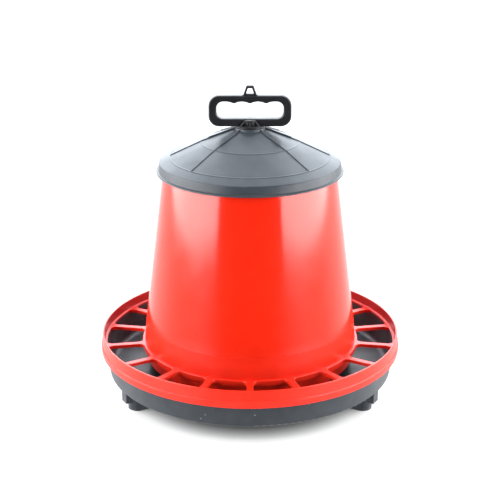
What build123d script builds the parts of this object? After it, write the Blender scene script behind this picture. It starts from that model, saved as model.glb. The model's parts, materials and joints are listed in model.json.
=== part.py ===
"""Hopper feeder for poultry: pan, feed-saver grid, tapered hopper, conical lid and carrying handle.

Millimetres, +Z up. The origin is on the floor under the centre of the pan, and the front is towards -Y.
Heights are above the floor. The feeder hangs by the handle: the load goes through the handle's boss,
the rod's crosshead, the rod and its spider to the hopper, and down the rod through the level knob to the pan.
"""

import os

from build123d import *

os.makedirs("parts", exist_ok=True)

# Rim and grid
RIM_R = 210.0
RIM_TOP = 83.0
RIM_LAND = 2.2
GRID_TOP = 70.0
BAND_STEP_R = 210.9
BAND_STEP_H = 68.6
BAND_BOTTOM = 59.0
BAND_LIP_R = 212.2
BAR_COUNT = 18
BAR_WIDTH = 9.0
BAR_DEPTH = 4.6
SLOT_INNER_R = 153.6
SLOT_OUTER_R = 203.8
SLOT_CORNER_R = 7.5
SLOT_EDGE_R = 1.0
RING_BORE_R = 147.9
RING_DEPTH = 8.0
FRONT = 270.0

# Pan
PAN_BOTTOM = 27.5
PAN_EDGE_R = 201.2
PAN_EDGE_ROUND_R = 2.2
PAN_TOP_R = 206.6
PAN_TOP = 66.6
PAN_WALL = 3.0
PAN_FLOOR = PAN_BOTTOM + PAN_WALL
PAN_FLOOR_ROUND_R = 8.0
CONE_FOOT_R = 100.0
CONE_TOP_R = 14.0
CONE_TOP = 60.0
CONE_WALL = 3.4
CONE_BOSS_R = 12.0
CONE_BOSS_BOTTOM = 37.0

# Feet
FOOT_ANGLES = {"foot_front_left": FRONT - 60.0, "foot_front_right": FRONT + 60.0, "foot_rear": FRONT - 180.0}
FOOT_INNER_R = 154.0
FOOT_OUTER_R = 180.0
FOOT_R = 13.0
FOOT_TAB_R = 200.2
FOOT_TAB_WIDTH = 15.0
FOOT_TAB_BOTTOM = 12.5
SEAT_GAP = 0.05
FOOT_TOP = PAN_BOTTOM - SEAT_GAP
PEG_R = 4.0
PEG_PLACE_R = 170.0
PEG_HEAD_R = 5.6

# Hopper
FOLD_R = 147.5
FOLD_H = 101.0
SKIRT_FOOT_R = 150.2
HOPPER_SLOPE = 0.1292
HOPPER_WALL = 2.6
HOPPER_TOP = 328.6
HOPPER_BEAD_BOTTOM = 321.5
HOPPER_BEAD_R = 121.3
GATE_R_TOP = 147.6
GATE_R_BOTTOM = 146.6
GATE_BOTTOM = 44.0
LUG_COUNT = 6
LUG_R = 149.3
LUG_WIDTH = 12.0
LUG_HEIGHT = 3.2

# Lid
LID_BOTTOM = 316.3
LID_LIP_R = 128.5
LID_CREASE_R = 124.5
LID_CREASE_H = 329.6
STEP_OUTER_R = 110.0
STEP_OUTER_H = 336.9
STEP_INNER_R = 67.4
STEP_INNER_H = 356.9
STEP_DROP = 0.5
STEP_BEAD = 0.5
LID_DEPTH = 2.5
LID_REST_R = 118.5
LID_REST_GAP = 0.2
COLLAR_R = 20.6
COLLAR_TOP = 378.0
COLLAR_FOOT = 374.6
NECK_BORE_R = 15.8
NECK_TUBE_R = 18.6
NECK_TUBE_BOTTOM = 366.0
RIB_ANGLES = (FRONT - 135, FRONT - 90, FRONT - 45, FRONT + 45, FRONT + 90, FRONT + 135)
RIB_WIDTH = 2.0
RIB_TALL_END_R = 56.0
RIB_TALL = 2.6
RIB_LOW = 1.3
RIB_EDGE_R = 0.9

# Handle
HANDLE_WIDTH = 112.2
HANDLE_BOTTOM = 379.0
HANDLE_TOP = 421.2
HANDLE_DEPTH = 13.0
HANDLE_CORNER_R = 14.5
HANDLE_EDGE_R = 2.2
OPENING_WIDTH = 90.4
OPENING_BOTTOM = 389.4
OPENING_TOP = 410.1
OPENING_CORNER_R = 9.0
SCALLOP_COUNT = 4
SCALLOP_PITCH = 21.6
SCALLOP_RISE = 3.0
SCALLOP_END_R = 4.0
EAR_TOP = 434.4
EAR_DEPTH = 6.5
EAR_EDGE_R = 0.8
FLANGE_BOTTOM = 378.3
FLANGE_TOP = 381.0
HUB_BULGE_R = 10.5
GUSSET_COUNT = 8
GUSSET_WIDTH = 2.2
SLEEVE_R = 15.4
SLEEVE_BOTTOM = 352.0
LEDGE_TOP = 356.0
CHAMBER_R = 12.5
CHAMBER_TOP = 374.0
CIRCLIP_BOTTOM = 361.6
CIRCLIP_THICKNESS = 2.0
CIRCLIP_BORE_R = 14.3
CIRCLIP_R = 18.4
CIRCLIP_MOUTH = 9.0
WASHER_BOTTOM = 363.8
WASHER_THICKNESS = 2.0

# Rod and crosshead
ROD_R = 6.0
ROD_BOTTOM = 9.0
ROD_SHOULDER = 350.0
STUD_R = 4.0
STUD_TOP = 363.5
CROSSHEAD_LENGTH = 22.0
CROSSHEAD_WIDTH = 9.0
CROSSHEAD_BOTTOM = 356.6
CROSSHEAD_HEIGHT = 6.0
CROSSHEAD_PLAY = 0.4
PIN_R = 1.25
RUNNING_GAP = 0.06

# Spider
SPIDER_ANGLES = (FRONT, FRONT + 120, FRONT - 120)
HUB_R = 15.0
HUB_BOTTOM = 76.0
HUB_TOP = 96.0
ARM_WIDTH = 7.0
HOOK_BOTTOM = 49.0
HOOK_HEIGHT = 8.0
HOOK_R = 148.6
WINDOW_PLAY = 0.3
NUT_ACROSS_FLATS = 19.0
NUT_HEIGHT = 8.0
SPIDER_WASHER_R = 13.0
SPIDER_WASHER_THICKNESS = 1.6

# Level knob under the pan
KNOB_FLANGE_R = 13.0
KNOB_FLANGE_BOTTOM = 31.4
KNOB_FLANGE_TOP = 36.6
KNOB_NECK_R = 9.0
KNOB_GRIP_R = 19.0
KNOB_GRIP_BOTTOM = 6.5
KNOB_GRIP_TOP = 24.5
KNOB_LOBES = 8
KNOB_LOBE_R = 3.6
KNOB_NUT_BOTTOM = KNOB_GRIP_BOTTOM + 0.2
RETAINER_BOTTOM = 28.0
RETAINER_TOP = 31.0
RETAINER_R = 27.0
RETAINER_SLOT_R = 9.5
POST_R = 4.0
POST_TOP = 55.5
POST_PLACE_R = 21.0
SCREW_R = 1.5
SCREW_HEAD_R = 3.2
SCREW_HEAD_HEIGHT = 1.8
SCREW_LENGTH = 11.0


def turned(*points, soft=()):
    """The solid that a closed outline of (radius, height) points makes round the Z axis.

    Soft lists the corners to round, each as its radius, its height and its rounding.
    """
    outline = make_face(Polyline(*points, close=True))
    for place_r, height, rounding in soft:
        outline = fillet(outline.vertices().sort_by_distance((place_r, height))[0], rounding)
    return revolve(Plane.XZ * outline, Axis.Z)


def post(radius, bottom, top, x=0.0, y=0.0):
    """An upright cylinder from one height to another."""
    return Pos(x, y, bottom) * Cylinder(radius, top - bottom, align=(Align.CENTER, Align.CENTER, Align.MIN))


def block(x_size, y_size, z_size, x=0.0, y=0.0, z=0.0):
    """A box centred on x and y with its bottom at height z."""
    return Pos(x, y, z) * Box(x_size, y_size, z_size, align=(Align.CENTER, Align.CENTER, Align.MIN))


def ring(inner_r, outer_r, bottom, top):
    """A flat washer or short tube."""
    return post(outer_r, bottom, top) - post(inner_r, bottom, top)


def make_pan():
    """Round flat-bottomed pan: a hollow centre cone, a guide boss for the rod, screw posts and peg holes."""
    above = PAN_TOP + 1.0
    outer_corner = (PAN_EDGE_R, PAN_BOTTOM)
    inner_corner = (PAN_EDGE_R - PAN_WALL, PAN_FLOOR)
    body = turned(
        (0, PAN_BOTTOM),
        outer_corner,
        (PAN_TOP_R, PAN_TOP),
        (0, PAN_TOP),
        soft=[(*outer_corner, PAN_EDGE_ROUND_R)],
    )
    body -= turned(
        (0, CONE_TOP),
        (CONE_TOP_R, CONE_TOP),
        (CONE_FOOT_R, PAN_FLOOR),
        inner_corner,
        (PAN_TOP_R - PAN_WALL, PAN_TOP),
        (PAN_TOP_R - PAN_WALL, above),
        (0, above),
        soft=[
            (*inner_corner, PAN_FLOOR_ROUND_R),
            (CONE_FOOT_R, PAN_FLOOR, 12.0),
            (CONE_TOP_R, CONE_TOP, 3.0),
        ],
    )
    body -= turned(
        (0, PAN_BOTTOM - 1.0),
        (CONE_FOOT_R - 3.0, PAN_BOTTOM - 1.0),
        (CONE_FOOT_R - 3.0, PAN_BOTTOM),
        (CONE_BOSS_R, CONE_TOP - CONE_WALL),
        (0, CONE_TOP - CONE_WALL),
    )
    body += post(CONE_BOSS_R, CONE_BOSS_BOTTOM, CONE_TOP - 1.0)
    for side in (-1, 1):
        body += post(POST_R, RETAINER_TOP, POST_TOP, x=side * POST_PLACE_R)
        body -= post(SCREW_R, RETAINER_TOP, RETAINER_TOP + SCREW_LENGTH, x=side * POST_PLACE_R)
    body -= post(ROD_R + RUNNING_GAP, 0, CONE_TOP + 1.0)
    for angle in FOOT_ANGLES.values():
        body -= Rot(0, 0, angle) * post(PEG_R, PAN_BOTTOM - 1.0, PAN_FLOOR + 1.0, x=PEG_PLACE_R)
    return body


def make_foot(angle):
    """Foot with rounded ends under the pan, an outer tab and a push-in peg with a snap head."""
    length = FOOT_OUTER_R - FOOT_INNER_R + 2 * FOOT_R
    shape = Pos((FOOT_OUTER_R + FOOT_INNER_R) / 2, 0) * SlotOverall(length, 2 * FOOT_R)
    foot = extrude(shape, FOOT_TOP)
    foot = fillet(foot.faces().sort_by(Axis.Z)[0].edges(), 1.2)
    tab = block(
        FOOT_TAB_R - FOOT_OUTER_R,
        FOOT_TAB_WIDTH,
        FOOT_TOP - FOOT_TAB_BOTTOM,
        x=(FOOT_TAB_R + FOOT_OUTER_R) / 2,
        z=FOOT_TAB_BOTTOM,
    )
    tab = fillet(tab.edges().filter_by(Axis.Z).sort_by(Axis.X)[-2:], 1.2)
    tab = fillet(tab.faces().sort_by(Axis.X)[-1].edges().sort_by(Axis.Z)[0], 1.0)
    head_bottom = PAN_FLOOR + 0.1
    peg = post(PEG_R - SEAT_GAP, FOOT_TOP - 5.0, head_bottom + 0.5, x=PEG_PLACE_R)
    head = Pos(PEG_PLACE_R, 0, 0) * turned(
        (0, head_bottom),
        (PEG_HEAD_R, head_bottom),
        (PEG_HEAD_R, head_bottom + 1.0),
        (PEG_HEAD_R - 2.0, head_bottom + 2.6),
        (0, head_bottom + 2.6),
    )
    return Rot(0, 0, angle) * (foot + tab + peg + head)


def slot_faces():
    """The flat shapes of the slots between the bars, with round corners. One bar points to the front."""
    length = SLOT_OUTER_R - SLOT_INNER_R + 20
    middle = (SLOT_INNER_R + SLOT_OUTER_R) / 2
    slots = Circle(SLOT_OUTER_R) - Circle(SLOT_INNER_R)
    for index in range(BAR_COUNT):
        angle = FRONT + index * 360 / BAR_COUNT
        slots -= Rot(0, 0, angle) * Pos(middle, 0) * Rectangle(length, BAR_WIDTH)
    return fillet(slots.vertices(), SLOT_CORNER_R)


def make_feed_grid():
    """Anti-waste ring: inner ring, radial bars, standing rim and the band that hangs over the pan."""
    bar_bottom = GRID_TOP - BAR_DEPTH
    web_bottom = PAN_TOP + 0.4
    band_r = PAN_TOP_R + 0.8
    lip_low = (BAND_LIP_R, BAND_BOTTOM)
    lip_high = (BAND_LIP_R, BAND_STEP_H - 0.8)
    lip_root = (BAND_STEP_R, BAND_STEP_H)
    rim_outer = (RIM_R, RIM_TOP)
    rim_inner = (RIM_R - RIM_LAND, RIM_TOP)
    rim_root = (RIM_R - RIM_LAND - 1.0, GRID_TOP)
    body = turned(
        (RING_BORE_R, GRID_TOP - RING_DEPTH),
        (SLOT_INNER_R - 0.8, GRID_TOP - RING_DEPTH),
        (SLOT_INNER_R - 0.8, bar_bottom),
        (PAN_TOP_R - PAN_WALL - 0.5, bar_bottom),
        (PAN_TOP_R - PAN_WALL - 0.5, web_bottom),
        (band_r, web_bottom),
        (band_r + 1.4, BAND_BOTTOM + 6.0),
        (BAND_LIP_R - 3.0, BAND_BOTTOM),
        lip_low,
        lip_high,
        lip_root,
        rim_outer,
        rim_inner,
        rim_root,
        (RING_BORE_R, GRID_TOP),
        soft=[
            (*lip_low, 0.6),
            (*lip_high, 0.8),
            (*lip_root, 0.5),
            (*rim_outer, 0.8),
            (*rim_inner, 0.6),
            (*rim_root, 1.2),
        ],
    )
    body -= extrude(Pos(0, 0, bar_bottom - 1.0) * slot_faces(), BAR_DEPTH + 2.0)
    top_edges = body.edges().filter_by_position(Axis.Z, GRID_TOP - 0.01, GRID_TOP + 0.01)
    return fillet([edge for edge in top_edges if not edge.is_closed], SLOT_EDGE_R)


def make_hopper_shell():
    """Tapered hopper with a rolled top bead, a straighter skirt on the grid and a gate wall below it."""
    bead_foot_r = FOLD_R - (HOPPER_BEAD_BOTTOM - FOLD_H) * HOPPER_SLOPE
    ring_bottom = GRID_TOP - RING_DEPTH
    body = turned(
        (GATE_R_BOTTOM - HOPPER_WALL, GATE_BOTTOM + 0.6),
        (GATE_R_BOTTOM - HOPPER_WALL + 0.6, GATE_BOTTOM),
        (GATE_R_BOTTOM - 0.6, GATE_BOTTOM),
        (GATE_R_BOTTOM, GATE_BOTTOM + 0.6),
        (GATE_R_TOP, ring_bottom),
        (GATE_R_TOP, GRID_TOP),
        (SKIRT_FOOT_R, GRID_TOP),
        (FOLD_R, FOLD_H),
        (bead_foot_r, HOPPER_BEAD_BOTTOM),
        (HOPPER_BEAD_R, HOPPER_BEAD_BOTTOM + 0.8),
        (HOPPER_BEAD_R, HOPPER_TOP),
        (bead_foot_r - HOPPER_WALL, HOPPER_TOP),
        (bead_foot_r - HOPPER_WALL, HOPPER_BEAD_BOTTOM),
        (FOLD_R - HOPPER_WALL, FOLD_H),
        (GATE_R_TOP - HOPPER_WALL, ring_bottom),
        soft=[
            (FOLD_R, FOLD_H, 8.0),
            (HOPPER_BEAD_R, HOPPER_TOP, 1.2),
            (bead_foot_r - HOPPER_WALL, HOPPER_TOP, 1.2),
        ],
    )
    for index in range(LUG_COUNT):
        lug = block(
            LUG_R - GATE_R_BOTTOM,
            LUG_WIDTH,
            LUG_HEIGHT,
            x=(LUG_R + GATE_R_BOTTOM) / 2,
            z=ring_bottom - 0.2 - LUG_HEIGHT,
        )
        lug = chamfer(lug.edges().filter_by(Axis.Y).sort_by(Axis.Z)[:2].sort_by(Axis.X)[-1], 1.6)
        body += Rot(0, 0, FRONT + 30 + index * 360 / LUG_COUNT) * lug
    for angle in SPIDER_ANGLES:
        body -= Rot(0, 0, angle) * block(
            20,
            ARM_WIDTH + 2 * WINDOW_PLAY,
            HOOK_HEIGHT + 2 * WINDOW_PLAY,
            x=GATE_R_BOTTOM,
            z=HOOK_BOTTOM - WINDOW_PLAY,
        )
    return body


def make_spider():
    """Hub and three webs whose ends pass through windows in the gate wall and bear against them."""
    hook_top = HOOK_BOTTOM + HOOK_HEIGHT
    body = post(HUB_R, HUB_BOTTOM, HUB_TOP)
    web = Plane.XZ * make_face(
        Polyline(
            (0, HUB_BOTTOM),
            (HUB_R, HUB_BOTTOM),
            (GATE_R_BOTTOM - 6.0, HOOK_BOTTOM),
            (HOOK_R, HOOK_BOTTOM),
            (HOOK_R, hook_top),
            (GATE_R_BOTTOM - 4.0, hook_top),
            (HUB_R + 4.0, HUB_TOP),
            (0, HUB_TOP),
            close=True,
        )
    )
    arm = extrude(web, ARM_WIDTH / 2, both=True)
    for angle in SPIDER_ANGLES:
        body += Rot(0, 0, angle) * arm
    return body - post(ROD_R + RUNNING_GAP, HUB_BOTTOM, HUB_TOP)


def hex_nut(bottom):
    """A hexagon nut with a plain bore in place of its thread and chamfered corners."""
    top = bottom + NUT_HEIGHT
    flat_r = NUT_ACROSS_FLATS / 2
    hexagon = RegularPolygon(flat_r, 6, major_radius=False)
    crown = turned(
        (0, bottom),
        (flat_r - 0.2, bottom),
        (flat_r + 1.6, bottom + 1.0),
        (flat_r + 1.6, top - 1.0),
        (flat_r - 0.2, top),
        (0, top),
    )
    return (extrude(Pos(0, 0, bottom) * hexagon, NUT_HEIGHT) & crown) - post(ROD_R + RUNNING_GAP, bottom, top)


def make_spider_nuts():
    """The two nuts that clamp the rod to the spider."""
    return Compound(
        children=[
            hex_nut(HUB_TOP + SPIDER_WASHER_THICKNESS),
            hex_nut(HUB_BOTTOM - SPIDER_WASHER_THICKNESS - NUT_HEIGHT),
        ]
    )


def make_spider_washers():
    """The washers between those nuts and the spider's hub."""
    bottoms = (HUB_TOP, HUB_BOTTOM - SPIDER_WASHER_THICKNESS)
    return Compound(
        children=[
            ring(ROD_R + RUNNING_GAP, SPIDER_WASHER_R, bottom, bottom + SPIDER_WASHER_THICKNESS)
            for bottom in bottoms
        ]
    )


def make_tie_rod():
    """Central rod with a reduced stud on top and a cross hole for the crosshead's pin."""
    body = turned(
        (0, ROD_BOTTOM),
        (ROD_R - 1.0, ROD_BOTTOM),
        (ROD_R, ROD_BOTTOM + 1.0),
        (ROD_R, ROD_SHOULDER - 0.5),
        (ROD_R - 0.5, ROD_SHOULDER),
        (STUD_R, ROD_SHOULDER),
        (STUD_R, STUD_TOP - 0.8),
        (STUD_R - 0.8, STUD_TOP),
        (0, STUD_TOP),
    )
    return body - pin_solid(PIN_R, 30)


def pin_solid(radius, length):
    """A cylinder through the crosshead, across the rod."""
    return Pos(0, 0, CROSSHEAD_BOTTOM + CROSSHEAD_HEIGHT / 2) * Rot(90, 0, 0) * Cylinder(radius, length)


def make_crosshead():
    """T bar on the rod's stud."""
    bar = block(CROSSHEAD_LENGTH, CROSSHEAD_WIDTH, CROSSHEAD_HEIGHT, z=CROSSHEAD_BOTTOM)
    bar = fillet(bar.edges().filter_by(Axis.Z), 1.5)
    return bar - post(STUD_R + SEAT_GAP, CROSSHEAD_BOTTOM, STUD_TOP) - pin_solid(PIN_R, 30)


def make_knob():
    """Level knob: a lobed grip with a nut pocket, a neck through the retainer and a flange above it."""
    grip = Circle(KNOB_GRIP_R)
    for index in range(KNOB_LOBES):
        grip += Rot(0, 0, index * 360 / KNOB_LOBES) * Pos(KNOB_GRIP_R - 1.0, 0) * Circle(KNOB_LOBE_R)
    body = extrude(Pos(0, 0, KNOB_GRIP_BOTTOM) * grip, KNOB_GRIP_TOP - KNOB_GRIP_BOTTOM)
    body = chamfer(body.faces().sort_by(Axis.Z)[0].edges() + body.faces().sort_by(Axis.Z)[-1].edges(), 0.8)
    body += post(KNOB_NECK_R, KNOB_GRIP_TOP, KNOB_FLANGE_BOTTOM)
    body += post(KNOB_FLANGE_R, KNOB_FLANGE_BOTTOM, KNOB_FLANGE_TOP)
    pocket = RegularPolygon(NUT_ACROSS_FLATS / 2 + SEAT_GAP, 6, major_radius=False)
    pocket_depth = KNOB_NUT_BOTTOM + NUT_HEIGHT + SEAT_GAP - KNOB_GRIP_BOTTOM
    body -= extrude(Pos(0, 0, KNOB_GRIP_BOTTOM) * pocket, pocket_depth)
    return body - post(ROD_R + RUNNING_GAP, KNOB_GRIP_BOTTOM, KNOB_FLANGE_TOP)


def make_retainer():
    """Forked plate screwed up under the cone's posts. It slides in round the knob's neck from the back."""
    plate = post(RETAINER_R, RETAINER_BOTTOM, RETAINER_TOP)
    plate -= post(RETAINER_SLOT_R, RETAINER_BOTTOM, RETAINER_TOP)
    plate -= block(
        2 * RETAINER_SLOT_R, RETAINER_R, RETAINER_TOP - RETAINER_BOTTOM, y=RETAINER_R / 2, z=RETAINER_BOTTOM
    )
    for side in (-1, 1):
        plate -= post(SCREW_R + 0.1, RETAINER_BOTTOM, RETAINER_TOP, x=side * POST_PLACE_R)
    return plate


def make_retainer_screws():
    """The two pan-head screws that hold the retainer."""
    screw = turned(
        (0, RETAINER_BOTTOM - SCREW_HEAD_HEIGHT),
        (SCREW_HEAD_R - 0.8, RETAINER_BOTTOM - SCREW_HEAD_HEIGHT),
        (SCREW_HEAD_R, RETAINER_BOTTOM - 0.8),
        (SCREW_HEAD_R, RETAINER_BOTTOM),
        (SCREW_R - SEAT_GAP, RETAINER_BOTTOM),
        (SCREW_R - SEAT_GAP, RETAINER_BOTTOM + SCREW_LENGTH),
        (0, RETAINER_BOTTOM + SCREW_LENGTH),
    )
    return Compound(children=[Pos(side * POST_PLACE_R, 0, 0) * screw for side in (-1, 1)])


def lid_rib():
    """One radial rib: tall near the collar, low further out, ending at the outer step ring."""
    slope = (COLLAR_FOOT - STEP_INNER_H) / (STEP_INNER_R - COLLAR_R)
    tall_end_h = COLLAR_FOOT - slope * (RIB_TALL_END_R - COLLAR_R)
    root_depth = 1.4
    web = Plane.XZ * make_face(
        Polyline(
            (COLLAR_R - 1.0, COLLAR_FOOT - root_depth),
            (COLLAR_R - 1.0, COLLAR_FOOT + RIB_TALL),
            (COLLAR_R, COLLAR_FOOT + RIB_TALL),
            (RIB_TALL_END_R, tall_end_h + RIB_TALL),
            (RIB_TALL_END_R + 1.6, tall_end_h + RIB_LOW - 0.4),
            (STEP_INNER_R, STEP_INNER_H + RIB_LOW),
            (STEP_OUTER_R - 1.4, STEP_OUTER_H + RIB_LOW + 0.4),
            (STEP_OUTER_R, STEP_OUTER_H + 0.4),
            (STEP_OUTER_R, STEP_OUTER_H - root_depth),
            (STEP_INNER_R, STEP_INNER_H - root_depth - STEP_DROP),
            close=True,
        )
    )
    rib = extrude(web, RIB_WIDTH / 2, both=True)
    fall = (COLLAR_FOOT - STEP_OUTER_H) / (STEP_OUTER_R - COLLAR_R)
    top_edges = [
        edge
        for edge in rib.edges()
        if abs(edge.center().Y) > RIB_WIDTH / 4
        and edge.center().Z > COLLAR_FOOT + 0.5 - fall * (edge.center().X - COLLAR_R)
    ]
    return fillet(top_edges, RIB_EDGE_R)


def make_lid_shell():
    """Conical lid: collar, neck tube, two step rings, ribs, shoulder, skirt, lip and a rest on the hopper."""
    lip_low = (LID_LIP_R, LID_BOTTOM)
    lip_high = (LID_LIP_R, LID_BOTTOM + 1.8)
    lip_root = (LID_CREASE_R + 0.8, LID_BOTTOM + 2.8)
    crease = (LID_CREASE_R, LID_CREASE_H + 0.1)
    fall = (COLLAR_FOOT - STEP_INNER_H) / (STEP_INNER_R - COLLAR_R)
    outer_bead = (STEP_OUTER_R - 0.2, STEP_OUTER_H + STEP_BEAD)
    inner_bead = (STEP_INNER_R - 0.2, STEP_INNER_H + STEP_BEAD)
    collar_foot = (COLLAR_R, COLLAR_FOOT)
    collar_top = (COLLAR_R, COLLAR_TOP)
    body = turned(
        (NECK_BORE_R, NECK_TUBE_BOTTOM),
        (NECK_TUBE_R, NECK_TUBE_BOTTOM),
        (NECK_TUBE_R, COLLAR_FOOT - LID_DEPTH),
        (STEP_INNER_R, STEP_INNER_H - STEP_DROP - LID_DEPTH),
        (STEP_OUTER_R, STEP_OUTER_H - STEP_DROP - LID_DEPTH),
        (LID_REST_R + 0.9, LID_CREASE_H + 3.0 - LID_DEPTH),
        (LID_REST_R + 0.9, HOPPER_TOP + LID_REST_GAP),
        (LID_REST_R + 1.4, HOPPER_TOP + LID_REST_GAP),
        (LID_CREASE_R - 2.1, LID_CREASE_H - 1.2),
        (LID_CREASE_R - 1.4, LID_BOTTOM + 2.6),
        (LID_LIP_R - 2.4, LID_BOTTOM),
        lip_low,
        lip_high,
        lip_root,
        crease,
        (STEP_OUTER_R + 0.9, STEP_OUTER_H - STEP_DROP),
        outer_bead,
        (STEP_OUTER_R - 1.8, STEP_OUTER_H + 1.8 * fall),
        (STEP_INNER_R + 0.9, STEP_INNER_H - STEP_DROP),
        inner_bead,
        (STEP_INNER_R - 1.8, STEP_INNER_H + 1.8 * fall),
        collar_foot,
        collar_top,
        (NECK_BORE_R, COLLAR_TOP),
        soft=[
            (*lip_low, 0.5),
            (*lip_high, 0.9),
            (*lip_root, 0.9),
            (*crease, 2.0),
            (*outer_bead, 0.9),
            (*inner_bead, 0.9),
            (*collar_foot, 0.8),
            (*collar_top, 1.2),
        ],
    )
    for angle in RIB_ANGLES:
        body += Rot(0, 0, angle) * lid_rib()
    return body


def opening_face():
    """Flat shape of the hand opening, with finger scallops along its top."""
    crest = OPENING_TOP + SCALLOP_RISE
    opening = Pos(0, (OPENING_BOTTOM + crest) / 2) * RectangleRounded(
        OPENING_WIDTH, crest - OPENING_BOTTOM, OPENING_CORNER_R
    )
    half_pitch = SCALLOP_PITCH / 2
    scallop_r = (half_pitch**2 + SCALLOP_RISE**2) / (2 * SCALLOP_RISE)
    bumps = Pos(0, crest) * Rectangle((SCALLOP_COUNT - 1) * SCALLOP_PITCH, 2 * SCALLOP_RISE)
    for index in range(SCALLOP_COUNT):
        x = (index - (SCALLOP_COUNT - 1) / 2) * SCALLOP_PITCH
        bumps -= Pos(x, crest - scallop_r) * Circle(scallop_r)
    opening -= bumps
    tips = [v for v in opening.vertices() if abs(v.Y - OPENING_TOP) < 0.01 and abs(v.X) < 1.2 * SCALLOP_PITCH]
    return fillet(tips, SCALLOP_END_R)


def make_handle():
    """Loop handle with a hanging ear above and a bored boss below that turns in the lid's neck."""
    middle = (HANDLE_BOTTOM + HANDLE_TOP) / 2
    loop = Pos(0, middle) * RectangleRounded(HANDLE_WIDTH, HANDLE_TOP - HANDLE_BOTTOM, HANDLE_CORNER_R)
    body = extrude(Plane.XZ * (loop - opening_face()), HANDLE_DEPTH / 2, both=True)
    flat_edges = body.faces().sort_by(Axis.Y)[0].edges() + body.faces().sort_by(Axis.Y)[-1].edges()
    body = fillet(flat_edges, HANDLE_EDGE_R)
    body += make_ear()
    body += post(HUB_BULGE_R, FLANGE_TOP - 0.5, OPENING_BOTTOM - 1.2)
    body += make_boss()
    return body


def make_ear():
    """Trapezoid hanging ear with a hole for a hook."""
    root = HANDLE_TOP - 2.0
    outline = make_face(
        Polyline(
            (-12.6, root),
            (-12.6, HANDLE_TOP - 0.6),
            (-9.0, HANDLE_TOP + 1.0),
            (-4.7, EAR_TOP),
            (4.7, EAR_TOP),
            (9.0, HANDLE_TOP + 1.0),
            (12.6, HANDLE_TOP - 0.6),
            (12.6, root),
            close=True,
        )
    )
    outline = fillet([v for v in outline.vertices() if v.Y > HANDLE_TOP + 0.5], 1.6)
    hole = make_face(
        Polyline(
            (-5.3, HANDLE_TOP + 2.1),
            (-2.8, EAR_TOP - 3.5),
            (2.8, EAR_TOP - 3.5),
            (5.3, HANDLE_TOP + 2.1),
            close=True,
        )
    )
    hole = fillet(hole.vertices(), 0.9)
    ear = extrude(Plane.XZ * (outline - hole), EAR_DEPTH / 2, both=True)
    flat_edges = ear.faces().sort_by(Axis.Y)[0].edges() + ear.faces().sort_by(Axis.Y)[-1].edges()
    return fillet(flat_edges, EAR_EDGE_R)


def make_boss():
    """Flange on the lid's collar with gussets, and the sleeve with the crosshead's chamber and ledge."""
    body = turned(
        (0, SLEEVE_BOTTOM),
        (SLEEVE_R - 0.8, SLEEVE_BOTTOM),
        (SLEEVE_R, SLEEVE_BOTTOM + 0.8),
        (SLEEVE_R, FLANGE_BOTTOM),
        (COLLAR_R - 0.4, FLANGE_BOTTOM),
        (COLLAR_R, FLANGE_BOTTOM + 0.4),
        (COLLAR_R, FLANGE_TOP - 0.8),
        (COLLAR_R - 0.8, FLANGE_TOP),
        (0, FLANGE_TOP),
    )
    for index in range(GUSSET_COUNT):
        gusset = extrude(
            Plane.XZ
            * make_face(
                Polyline(
                    (HUB_BULGE_R - 2.0, FLANGE_TOP - 0.5),
                    (COLLAR_R - 1.4, FLANGE_TOP - 0.5),
                    (HUB_BULGE_R, FLANGE_TOP + 6.0),
                    (HUB_BULGE_R - 2.0, FLANGE_TOP + 6.0),
                    close=True,
                )
            ),
            GUSSET_WIDTH / 2,
            both=True,
        )
        body += Rot(0, 0, FRONT + index * 360 / GUSSET_COUNT) * gusset
    body -= post(CHAMBER_R, LEDGE_TOP, CHAMBER_TOP)
    body -= post(STUD_R + 0.6, SLEEVE_BOTTOM, LEDGE_TOP)
    body -= block(
        CROSSHEAD_LENGTH + 2 * CROSSHEAD_PLAY,
        CROSSHEAD_WIDTH + 2 * CROSSHEAD_PLAY,
        LEDGE_TOP - SLEEVE_BOTTOM,
        z=SLEEVE_BOTTOM,
    )
    groove_play = 0.05
    body -= ring(
        CIRCLIP_BORE_R - groove_play,
        SLEEVE_R + 1.0,
        CIRCLIP_BOTTOM - groove_play,
        CIRCLIP_BOTTOM + CIRCLIP_THICKNESS + groove_play,
    )
    return body


def make_circlip():
    """Snap ring in the sleeve's groove, open at the back."""
    body = ring(CIRCLIP_BORE_R, CIRCLIP_R, CIRCLIP_BOTTOM, CIRCLIP_BOTTOM + CIRCLIP_THICKNESS)
    return body - block(CIRCLIP_MOUTH, CIRCLIP_R, CIRCLIP_THICKNESS, y=CIRCLIP_R / 2 + 4.0, z=CIRCLIP_BOTTOM)


def export(name, shape):
    """Writes one piece, or one group of identical pieces, to its own file."""
    shape.label = name
    export_step(shape, f"parts/{name}.step")


export("pan", make_pan())
for foot_name, foot_angle in FOOT_ANGLES.items():
    export(foot_name, make_foot(foot_angle))
export("knob_retainer", make_retainer())
export("retainer_screws", make_retainer_screws())
export("level_knob", make_knob())
export("knob_nut", hex_nut(KNOB_NUT_BOTTOM))
export("hopper_shell", make_hopper_shell())
export("feed_grid", make_feed_grid())
export("hopper_spider", make_spider())
export("spider_nuts", make_spider_nuts())
export("spider_washers", make_spider_washers())
export("tie_rod", make_tie_rod())
export("rod_crosshead", make_crosshead())
export("crosshead_pin", pin_solid(PIN_R - 0.03, CROSSHEAD_WIDTH - 0.4))
export("lid_shell", make_lid_shell())
export("neck_washer", ring(NECK_BORE_R, NECK_TUBE_R, WASHER_BOTTOM, WASHER_BOTTOM + WASHER_THICKNESS))
export("carry_handle", make_handle())
export("handle_circlip", make_circlip())
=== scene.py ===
"""Studio scene for a hanging poultry feeder: materials, floor, lights, surroundings and camera.

Metres, +Z up, in the frame of the CAD model. The front of the feeder is towards -Y. Radiances are relative,
and a surface that gives 1 is just white in the picture.
"""

import json
import math

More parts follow.
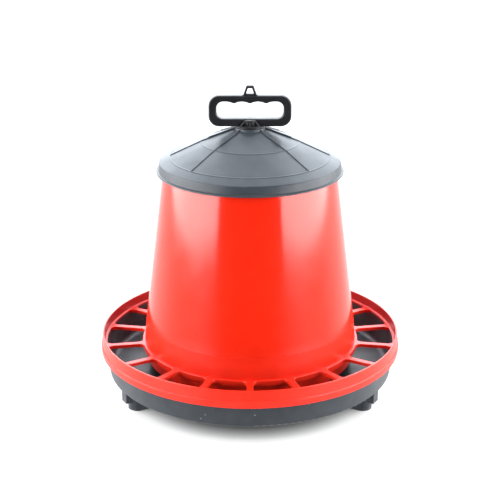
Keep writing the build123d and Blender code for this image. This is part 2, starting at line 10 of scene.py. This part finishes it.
import bpy
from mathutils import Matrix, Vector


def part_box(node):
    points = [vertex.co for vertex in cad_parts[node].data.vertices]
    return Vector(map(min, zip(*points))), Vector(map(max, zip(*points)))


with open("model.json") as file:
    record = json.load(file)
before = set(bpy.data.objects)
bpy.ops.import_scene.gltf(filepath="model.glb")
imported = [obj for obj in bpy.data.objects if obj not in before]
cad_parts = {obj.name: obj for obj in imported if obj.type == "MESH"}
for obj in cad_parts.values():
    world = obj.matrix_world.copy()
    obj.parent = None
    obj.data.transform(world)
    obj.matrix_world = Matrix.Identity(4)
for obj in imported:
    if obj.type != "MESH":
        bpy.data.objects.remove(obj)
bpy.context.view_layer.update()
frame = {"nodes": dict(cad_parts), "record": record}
NODES = frame["nodes"]

RIM_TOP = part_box("feed_grid")[1].z

# Camera
CAMERA_DISTANCE = 1.687
CAMERA_ABOVE_RIM = 0.725
CAMERA_PITCH = math.radians(19.83)
CAMERA_LENS = 92.0
CAMERA_SENSOR = 36.0
CAMERA_REACH = 50.0

# Soft boxes at the left and right
SIDE_BOX_X = 1.9
SIDE_BOX_FRONT = -2.38
SIDE_BOX_BACK = 1.1
SIDE_BOX_BOTTOM = -0.03
SIDE_BOX_TOP = 1.7
SIDE_BOX_RADIANCE = 6.2

# Soft boxes behind and above: centre, width and height, radiance
BACK_LIGHT_COLOUR = (0.93, 1.0, 1.08)
BACK_BOX_PLACE = (0.0, 1.63, 1.55)
BACK_BOX_SIZE = (3.4, 2.2)
BACK_BOX_RADIANCE = 3.5
WALL_BOX_PLACE = (0.0, 3.6, 0.46)
WALL_BOX_SIZE = (4.4, 0.86)
WALL_BOX_RADIANCE = 3.3
TOP_BOX_PLACE = (0.0, -0.2, 2.4)
TOP_BOX_SIZE = (2.4, 1.0)
TOP_BOX_RADIANCE = 1.2
LIGHT_WATTS_PER_RADIANCE = 4.0

# Surroundings above and below the horizon. Each place is a range of a direction's Y or Z component.
WORLD_WHITE = (1.0, 1.0, 1.0, 1.0)
WORLD_GREY = (0.8, 0.8, 0.8, 1.0)
WORLD_FRONT = 0.002
WORLD_AROUND = 0.15
WORLD_AROUND_PLACES = (-0.85, -0.1)
WORLD_BACK = 0.45
WORLD_BACK_PLACES = (0.4, 0.9)
BELOW_FRONT = 0.02
BELOW_SIDE = 0.95
BELOW_SIDE_PLACES = (-0.95, -0.45)
BELOW_BACK = 0.85
BELOW_BACK_PLACES = (-0.2, 0.5)
STRAIGHT_BELOW = 1.1
STRAIGHT_BELOW_PLACES = (-0.8, -0.55)
HORIZON_PLACES = (-0.03, 0.03)

# Floor: its edges, and (radius, grey) stops of its paper, painted dark grey as a shadow under the feeder,
# and of the light it gives, which is left out there
FLOOR_FRONT = -0.41
FLOOR_BACK = 4.4
FLOOR_SIDE = 1.06
FLOOR_RAMP_R = 3.0
FLOOR_PAPER_AND_SHADOW = ((0.125, 0.06), (0.155, 0.3), (0.19, 0.94), (0.3, 0.7), (0.6, 0.48), (1.2, 0.38))
FLOOR_GLOW = ((0.15, 0.0), (0.2, 0.15), (1.3, 0.15), (2.2, 0.7), (3.0, 1.1))
FLOOR_NOISE_SCALE = 3.0
FLOOR_ROUGHNESS = (0.85, 0.95)

# Wear and dust, and the painted shade on the rim's inner wall
WEAR_TOP = 0.122
WEAR_BOTTOM = 0.092
WEAR_ROUGHNESS = 0.18
INNER_WALL_SHADE_RED = (0.3, 0.016, 0.012)
INNER_WALL_PLACES = (-0.13, -0.19)
DUST = (0.3, 0.32, 0.34)
DUST_CELLS = 170.0
DUST_SIZE = 0.12
DUST_SHARE = 0.12

# Surface detail. Scales are per metre and depths are in metres.
NOISE_MIDDLE = (0.3, 0.7)
CLOUD_SCALE = 55.0
GLOSS_SCALE = 40.0
WAVE_SCALE = 12.0
WAVE_DEPTH = 0.00012
WAVE_STRENGTH = 0.25
GRAIN_STRENGTH = 0.35
DRAWN_SCALE = 60.0
DRAWN_STRETCH = (8.0, 8.0, 1.0)
DRAWN_DEPTH = 0.00005
DRAWN_STRENGTH = 0.2
DRAWN_LIGHTER = 1.15


def make_camera():
    """Camera in front of the feeder, above its rim and looking down."""
    data = bpy.data.cameras.new("camera")
    data.lens = CAMERA_LENS
    data.sensor_width = CAMERA_SENSOR
    data.clip_end = CAMERA_REACH
    camera = bpy.data.objects.new("camera", data)
    camera.location = (0.0, -CAMERA_DISTANCE, RIM_TOP + CAMERA_ABOVE_RIM)
    camera.rotation_euler = (math.pi / 2 - CAMERA_PITCH, 0.0, 0.0)
    bpy.context.scene.collection.objects.link(camera)
    bpy.context.scene.camera = camera


def new_material(name):
    """An empty node material with a Principled shader. Returns the material, its tree and the shader."""
    material = bpy.data.materials.new(name)
    material.use_nodes = True
    tree = material.node_tree
    shader = tree.nodes["Principled BSDF"]
    return material, tree, shader


def noise(tree, scale, detail, stretch=(1.0, 1.0, 1.0)):
    """Noise in object space, stretched by the given factors."""
    coords = tree.nodes.new("ShaderNodeTexCoord")
    mapping = tree.nodes.new("ShaderNodeMapping")
    mapping.inputs["Scale"].default_value = stretch
    texture = tree.nodes.new("ShaderNodeTexNoise")
    texture.inputs["Scale"].default_value = scale
    texture.inputs["Detail"].default_value = detail
    tree.links.new(coords.outputs["Object"], mapping.inputs["Vector"])
    tree.links.new(mapping.outputs["Vector"], texture.inputs["Vector"])
    return texture.outputs["Fac"]


def ramp(tree, value, stops):
    """A colour ramp through (position, colour) stops."""
    node = tree.nodes.new("ShaderNodeValToRGB")
    elements = node.color_ramp.elements
    for index, (position, colour) in enumerate(stops):
        element = elements[index] if index < 2 else elements.new(position)
        element.position = position
        element.color = (*colour, 1.0)
    tree.links.new(value, node.inputs["Fac"])
    return node.outputs["Color"]


def map_range(tree, value, places, results, soft=False):
    """The value mapped from one range to another, in a straight line or as a soft step."""
    node = tree.nodes.new("ShaderNodeMapRange")
    if soft:
        node.interpolation_type = "SMOOTHSTEP"
    node.inputs["From Min"].default_value = places[0]
    node.inputs["From Max"].default_value = places[1]
    node.inputs["To Min"].default_value = results[0]
    node.inputs["To Max"].default_value = results[1]
    tree.links.new(value, node.inputs["Value"])
    return node.outputs["Result"]


def spread(tree, value, results):
    """The middle of a noise's range, spread over the results."""
    return map_range(tree, value, NOISE_MIDDLE, results)


def maths(tree, operation, first, second):
    """A Math node on a socket and either another socket or a number."""
    node = tree.nodes.new("ShaderNodeMath")
    node.operation = operation
    tree.links.new(first, node.inputs[0])
    if isinstance(second, float):
        node.inputs[1].default_value = second
    else:
        tree.links.new(second, node.inputs[1])
    return node.outputs["Value"]


def blend(tree, factor, first, second):
    """The first colour, changing to the second constant colour where the factor is 1."""
    node = tree.nodes.new("ShaderNodeMix")
    node.data_type = "RGBA"
    tree.links.new(factor, node.inputs["Factor"])
    tree.links.new(first, node.inputs["A"])
    node.inputs["B"].default_value = (*second, 1.0)
    return node.outputs["Result"]


def bump(tree, value, strength, distance, below=None):
    """A bump from a value, over another bump if one is given."""
    node = tree.nodes.new("ShaderNodeBump")
    node.inputs["Strength"].default_value = strength
    node.inputs["Distance"].default_value = distance
    tree.links.new(value, node.inputs["Height"])
    if below is not None:
        tree.links.new(below, node.inputs["Normal"])
    return node.outputs["Normal"]


def dust_specks(tree):
    """1 on small round specks of dust, which lie in a share of the cells, and 0 elsewhere."""
    coords = tree.nodes.new("ShaderNodeTexCoord")
    texture = tree.nodes.new("ShaderNodeTexVoronoi")
    texture.inputs["Scale"].default_value = DUST_CELLS
    tree.links.new(coords.outputs["Object"], texture.inputs["Vector"])
    split = tree.nodes.new("ShaderNodeSeparateColor")
    tree.links.new(texture.outputs["Color"], split.inputs["Color"])
    near = maths(tree, "LESS_THAN", texture.outputs["Distance"], DUST_SIZE)
    chosen = maths(tree, "LESS_THAN", split.outputs["Red"], DUST_SHARE)
    return maths(tree, "MULTIPLY", near, chosen)


def inner_wall_shade_mask(tree):
    """1 on surfaces near the rim's radius that face the Z axis, 0 elsewhere: the mask of the painted shade
    on the rim's inner wall.

    The horizontal place times the normal is minus the radius on a wall that faces the axis.
    """
    coords = tree.nodes.new("ShaderNodeTexCoord")
    flat = tree.nodes.new("ShaderNodeVectorMath")
    flat.operation = "MULTIPLY"
    flat.inputs[1].default_value = (1.0, 1.0, 0.0)
    tree.links.new(coords.outputs["Object"], flat.inputs[0])
    facing = tree.nodes.new("ShaderNodeVectorMath")
    facing.operation = "DOT_PRODUCT"
    tree.links.new(flat.outputs["Vector"], facing.inputs[0])
    tree.links.new(coords.outputs["Normal"], facing.inputs[1])
    return map_range(tree, facing.outputs["Value"], INNER_WALL_PLACES, (0.0, 1.0))


def foot_wear(tree):
    """Added roughness at the hopper's foot and the grid, where birds and feed rub."""
    coords = tree.nodes.new("ShaderNodeTexCoord")
    split = tree.nodes.new("ShaderNodeSeparateXYZ")
    tree.links.new(coords.outputs["Object"], split.inputs["Vector"])
    return map_range(tree, split.outputs["Z"], (WEAR_TOP, WEAR_BOTTOM), (0.0, WEAR_ROUGHNESS), soft=True)


def cloudy_colour(tree, dark, light):
    """A cloudy colour between a dark and a light one."""
    return ramp(tree, noise(tree, CLOUD_SCALE, 8.0), zip(NOISE_MIDDLE, (dark, light)))


def uneven_gloss(tree, rough):
    """A roughness that varies over the surface within a range."""
    return spread(tree, noise(tree, GLOSS_SCALE, 6.0), rough)


def moulded_surface(tree, grain_scale, grain_depth):
    """The faint waves of a moulded wall under a fine grain."""
    wave = bump(tree, noise(tree, WAVE_SCALE, 1.0), WAVE_STRENGTH, WAVE_DEPTH)
    return bump(tree, noise(tree, grain_scale, 3.0), GRAIN_STRENGTH, grain_depth, wave)


def finish_plastic(tree, shader, colour, gloss, surface):
    """Links a plastic's colour, roughness and surface to its shader."""
    tree.links.new(colour, shader.inputs["Base Color"])
    tree.links.new(gloss, shader.inputs["Roughness"])
    tree.links.new(surface, shader.inputs["Normal"])


def red_plastic():
    """Glossy red plastic, worn at the hopper's foot, with painted shade that darkens the rim's inner wall.
    """
    material, tree, shader = new_material("red_plastic")
    colour = cloudy_colour(tree, (0.72, 0.018, 0.005), (0.76, 0.021, 0.006))
    # Painted shade: the rim's inner wall is blended to a darker red, standing in for the shade the hopper
    # casts there.
    colour = blend(tree, inner_wall_shade_mask(tree), colour, INNER_WALL_SHADE_RED)
    gloss = maths(tree, "ADD", uneven_gloss(tree, (0.12, 0.16)), foot_wear(tree))
    finish_plastic(tree, shader, colour, gloss, moulded_surface(tree, 900.0, 0.00002))
    return material


def grey_plastic():
    """Dark grey satin plastic with specks of dust."""
    material, tree, shader = new_material("grey_plastic")
    colour = cloudy_colour(tree, (0.026, 0.032, 0.04), (0.036, 0.043, 0.052))
    colour = blend(tree, dust_specks(tree), colour, DUST)
    gloss = uneven_gloss(tree, (0.34, 0.48))
    finish_plastic(tree, shader, colour, gloss, moulded_surface(tree, 700.0, 0.00005))
    return material


def lid_plastic():
    """Blue-grey satin plastic."""
    material, tree, shader = new_material("lid_plastic")
    colour = cloudy_colour(tree, (0.03, 0.039, 0.05), (0.042, 0.05, 0.061))
    gloss = uneven_gloss(tree, (0.37, 0.46))
    finish_plastic(tree, shader, colour, gloss, moulded_surface(tree, 800.0, 0.00006))
    return material


def black_plastic():
    """Black satin plastic with a weak shine."""
    material, tree, shader = new_material("black_plastic")
    colour = cloudy_colour(tree, (0.009, 0.009, 0.011), (0.014, 0.014, 0.017))
    gloss = uneven_gloss(tree, (0.36, 0.46))
    finish_plastic(tree, shader, colour, gloss, moulded_surface(tree, 900.0, 0.00005))
    shader.inputs["Specular IOR Level"].default_value = 0.32
    return material


def plated_steel():
    """Zinc-plated steel with fine drawn lines."""
    material, tree, shader = new_material("plated_steel")
    links = tree.links
    colour = (0.5, 0.51, 0.52)
    lighter = tuple(channel * DRAWN_LIGHTER for channel in colour)
    lines = noise(tree, DRAWN_SCALE, 4.0, DRAWN_STRETCH)
    links.new(ramp(tree, lines, zip(NOISE_MIDDLE, (colour, lighter))), shader.inputs["Base Color"])
    links.new(spread(tree, lines, (0.25, 0.38)), shader.inputs["Roughness"])
    links.new(bump(tree, lines, DRAWN_STRENGTH, DRAWN_DEPTH), shader.inputs["Normal"])
    shader.inputs["Metallic"].default_value = 1.0
    return material


def dress_cad_nodes():
    """Gives each CAD node the material of its slot."""
    makers = (red_plastic, grey_plastic, lid_plastic, black_plastic, plated_steel)
    materials = {maker.__name__: maker() for maker in makers}
    for entry in frame["record"]["subparts"]:
        node = NODES[entry["node"]]
        node.data.materials.clear()
        node.data.materials.append(materials[entry["material_slot"]])


def make_floor():
    """A wide white floor that gives a little light, except in the shade under the feeder, where a painted
    shadow darkens its paper.
    """
    mesh = bpy.data.meshes.new("floor")
    corners = [
        (-FLOOR_SIDE, FLOOR_FRONT, 0.0),
        (FLOOR_SIDE, FLOOR_FRONT, 0.0),
        (FLOOR_SIDE, FLOOR_BACK, 0.0),
        (-FLOOR_SIDE, FLOOR_BACK, 0.0),
    ]
    mesh.from_pydata(corners, [], [(0, 1, 2, 3)])
    floor = bpy.data.objects.new("floor", mesh)
    bpy.context.scene.collection.objects.link(floor)
    material, tree, shader = new_material("floor_paper_and_shadow")
    coords = tree.nodes.new("ShaderNodeTexCoord")
    length = tree.nodes.new("ShaderNodeVectorMath")
    length.operation = "LENGTH"
    tree.links.new(coords.outputs["Object"], length.inputs[0])
    radius = map_range(tree, length.outputs["Value"], (0.0, FLOOR_RAMP_R), (0.0, 1.0))
    # Painted shadow: the paper is dark grey under the feeder, and the floor gives no light there.
    for socket, stops in (("Base Color", FLOOR_PAPER_AND_SHADOW), ("Emission Color", FLOOR_GLOW)):
        greys = [(place / FLOOR_RAMP_R, (grey, grey, grey)) for place, grey in stops]
        tree.links.new(ramp(tree, radius, greys), shader.inputs[socket])
    patches = noise(tree, FLOOR_NOISE_SCALE, 5.0)
    tree.links.new(spread(tree, patches, FLOOR_ROUGHNESS), shader.inputs["Roughness"])
    shader.inputs["Emission Strength"].default_value = 1.0
    mesh.materials.append(material)
    floor.visible_glossy = False


def soft_box(name, centre, rotation, size, radiance, colour=(1.0, 1.0, 1.0)):
    """A rectangular light of a width and height, which shines along its own -Z."""
    data = bpy.data.lights.new(name, "AREA")
    data.shape = "RECTANGLE"
    data.size, data.size_y = size
    data.energy = radiance * LIGHT_WATTS_PER_RADIANCE * size[0] * size[1]
    data.color = colour
    light = bpy.data.objects.new(name, data)
    light.location = centre
    light.rotation_euler = rotation
    bpy.context.scene.collection.objects.link(light)


def make_lights():
    """Two large soft boxes at the sides, one high behind, one low behind and a weak one above."""
    middle_y = (SIDE_BOX_FRONT + SIDE_BOX_BACK) / 2
    middle_z = (SIDE_BOX_BOTTOM + SIDE_BOX_TOP) / 2
    size = (SIDE_BOX_BACK - SIDE_BOX_FRONT, SIDE_BOX_TOP - SIDE_BOX_BOTTOM)
    for name, side in (("left_box", -1), ("right_box", 1)):
        place = (side * SIDE_BOX_X, middle_y, middle_z)
        turn = (math.pi / 2, 0.0, side * math.pi / 2)
        soft_box(name, place, turn, size, SIDE_BOX_RADIANCE)
    tilt = math.atan2(BACK_BOX_PLACE[1], BACK_BOX_PLACE[2] - RIM_TOP)
    down_to_rim = (-tilt, 0.0, 0.0)
    to_front = (math.pi / 2, 0.0, math.pi)
    soft_box("back_box", BACK_BOX_PLACE, down_to_rim, BACK_BOX_SIZE, BACK_BOX_RADIANCE, BACK_LIGHT_COLOUR)
    soft_box("wall_box", WALL_BOX_PLACE, to_front, WALL_BOX_SIZE, WALL_BOX_RADIANCE, BACK_LIGHT_COLOUR)
    soft_box("top_box", TOP_BOX_PLACE, (0.0, 0.0, 0.0), TOP_BOX_SIZE, TOP_BOX_RADIANCE)


def make_world():
    """Surroundings that are dark in front and paler at the sides and back, with their own light below."""
    world = bpy.data.worlds.new("studio")
    world.use_nodes = True
    tree = world.node_tree
    above = tree.nodes["Background"]
    above.inputs["Color"].default_value = WORLD_WHITE
    below = tree.nodes.new("ShaderNodeBackground")
    below.inputs["Color"].default_value = WORLD_GREY
    coords = tree.nodes.new("ShaderNodeTexCoord")
    split = tree.nodes.new("ShaderNodeSeparateXYZ")
    tree.links.new(coords.outputs["Generated"], split.inputs["Vector"])
    along, up = split.outputs["Y"], split.outputs["Z"]
    around = map_range(tree, along, WORLD_AROUND_PLACES, (WORLD_FRONT, WORLD_AROUND), soft=True)
    wall = map_range(tree, along, WORLD_BACK_PLACES, (0.0, WORLD_BACK), soft=True)
    tree.links.new(maths(tree, "ADD", around, wall), above.inputs["Strength"])
    side = map_range(tree, along, BELOW_SIDE_PLACES, (BELOW_FRONT, BELOW_SIDE), soft=True)
    back = map_range(tree, along, BELOW_BACK_PLACES, (0.0, BELOW_BACK), soft=True)
    steep = map_range(tree, up, STRAIGHT_BELOW_PLACES, (STRAIGHT_BELOW, 0.0), soft=True)
    low = maths(tree, "MAXIMUM", maths(tree, "ADD", side, back), steep)
    tree.links.new(low, below.inputs["Strength"])
    mix = tree.nodes.new("ShaderNodeMixShader")
    tree.links.new(map_range(tree, up, HORIZON_PLACES, (0.0, 1.0), soft=True), mix.inputs["Fac"])
    tree.links.new(below.outputs["Background"], mix.inputs[1])
    tree.links.new(above.outputs["Background"], mix.inputs[2])
    tree.links.new(mix.outputs["Shader"], tree.nodes["World Output"].inputs["Surface"])
    bpy.context.scene.world = world


make_camera()
dress_cad_nodes()
make_floor()
make_world()
make_lights()
bpy.context.scene.view_settings.view_transform = "Standard"
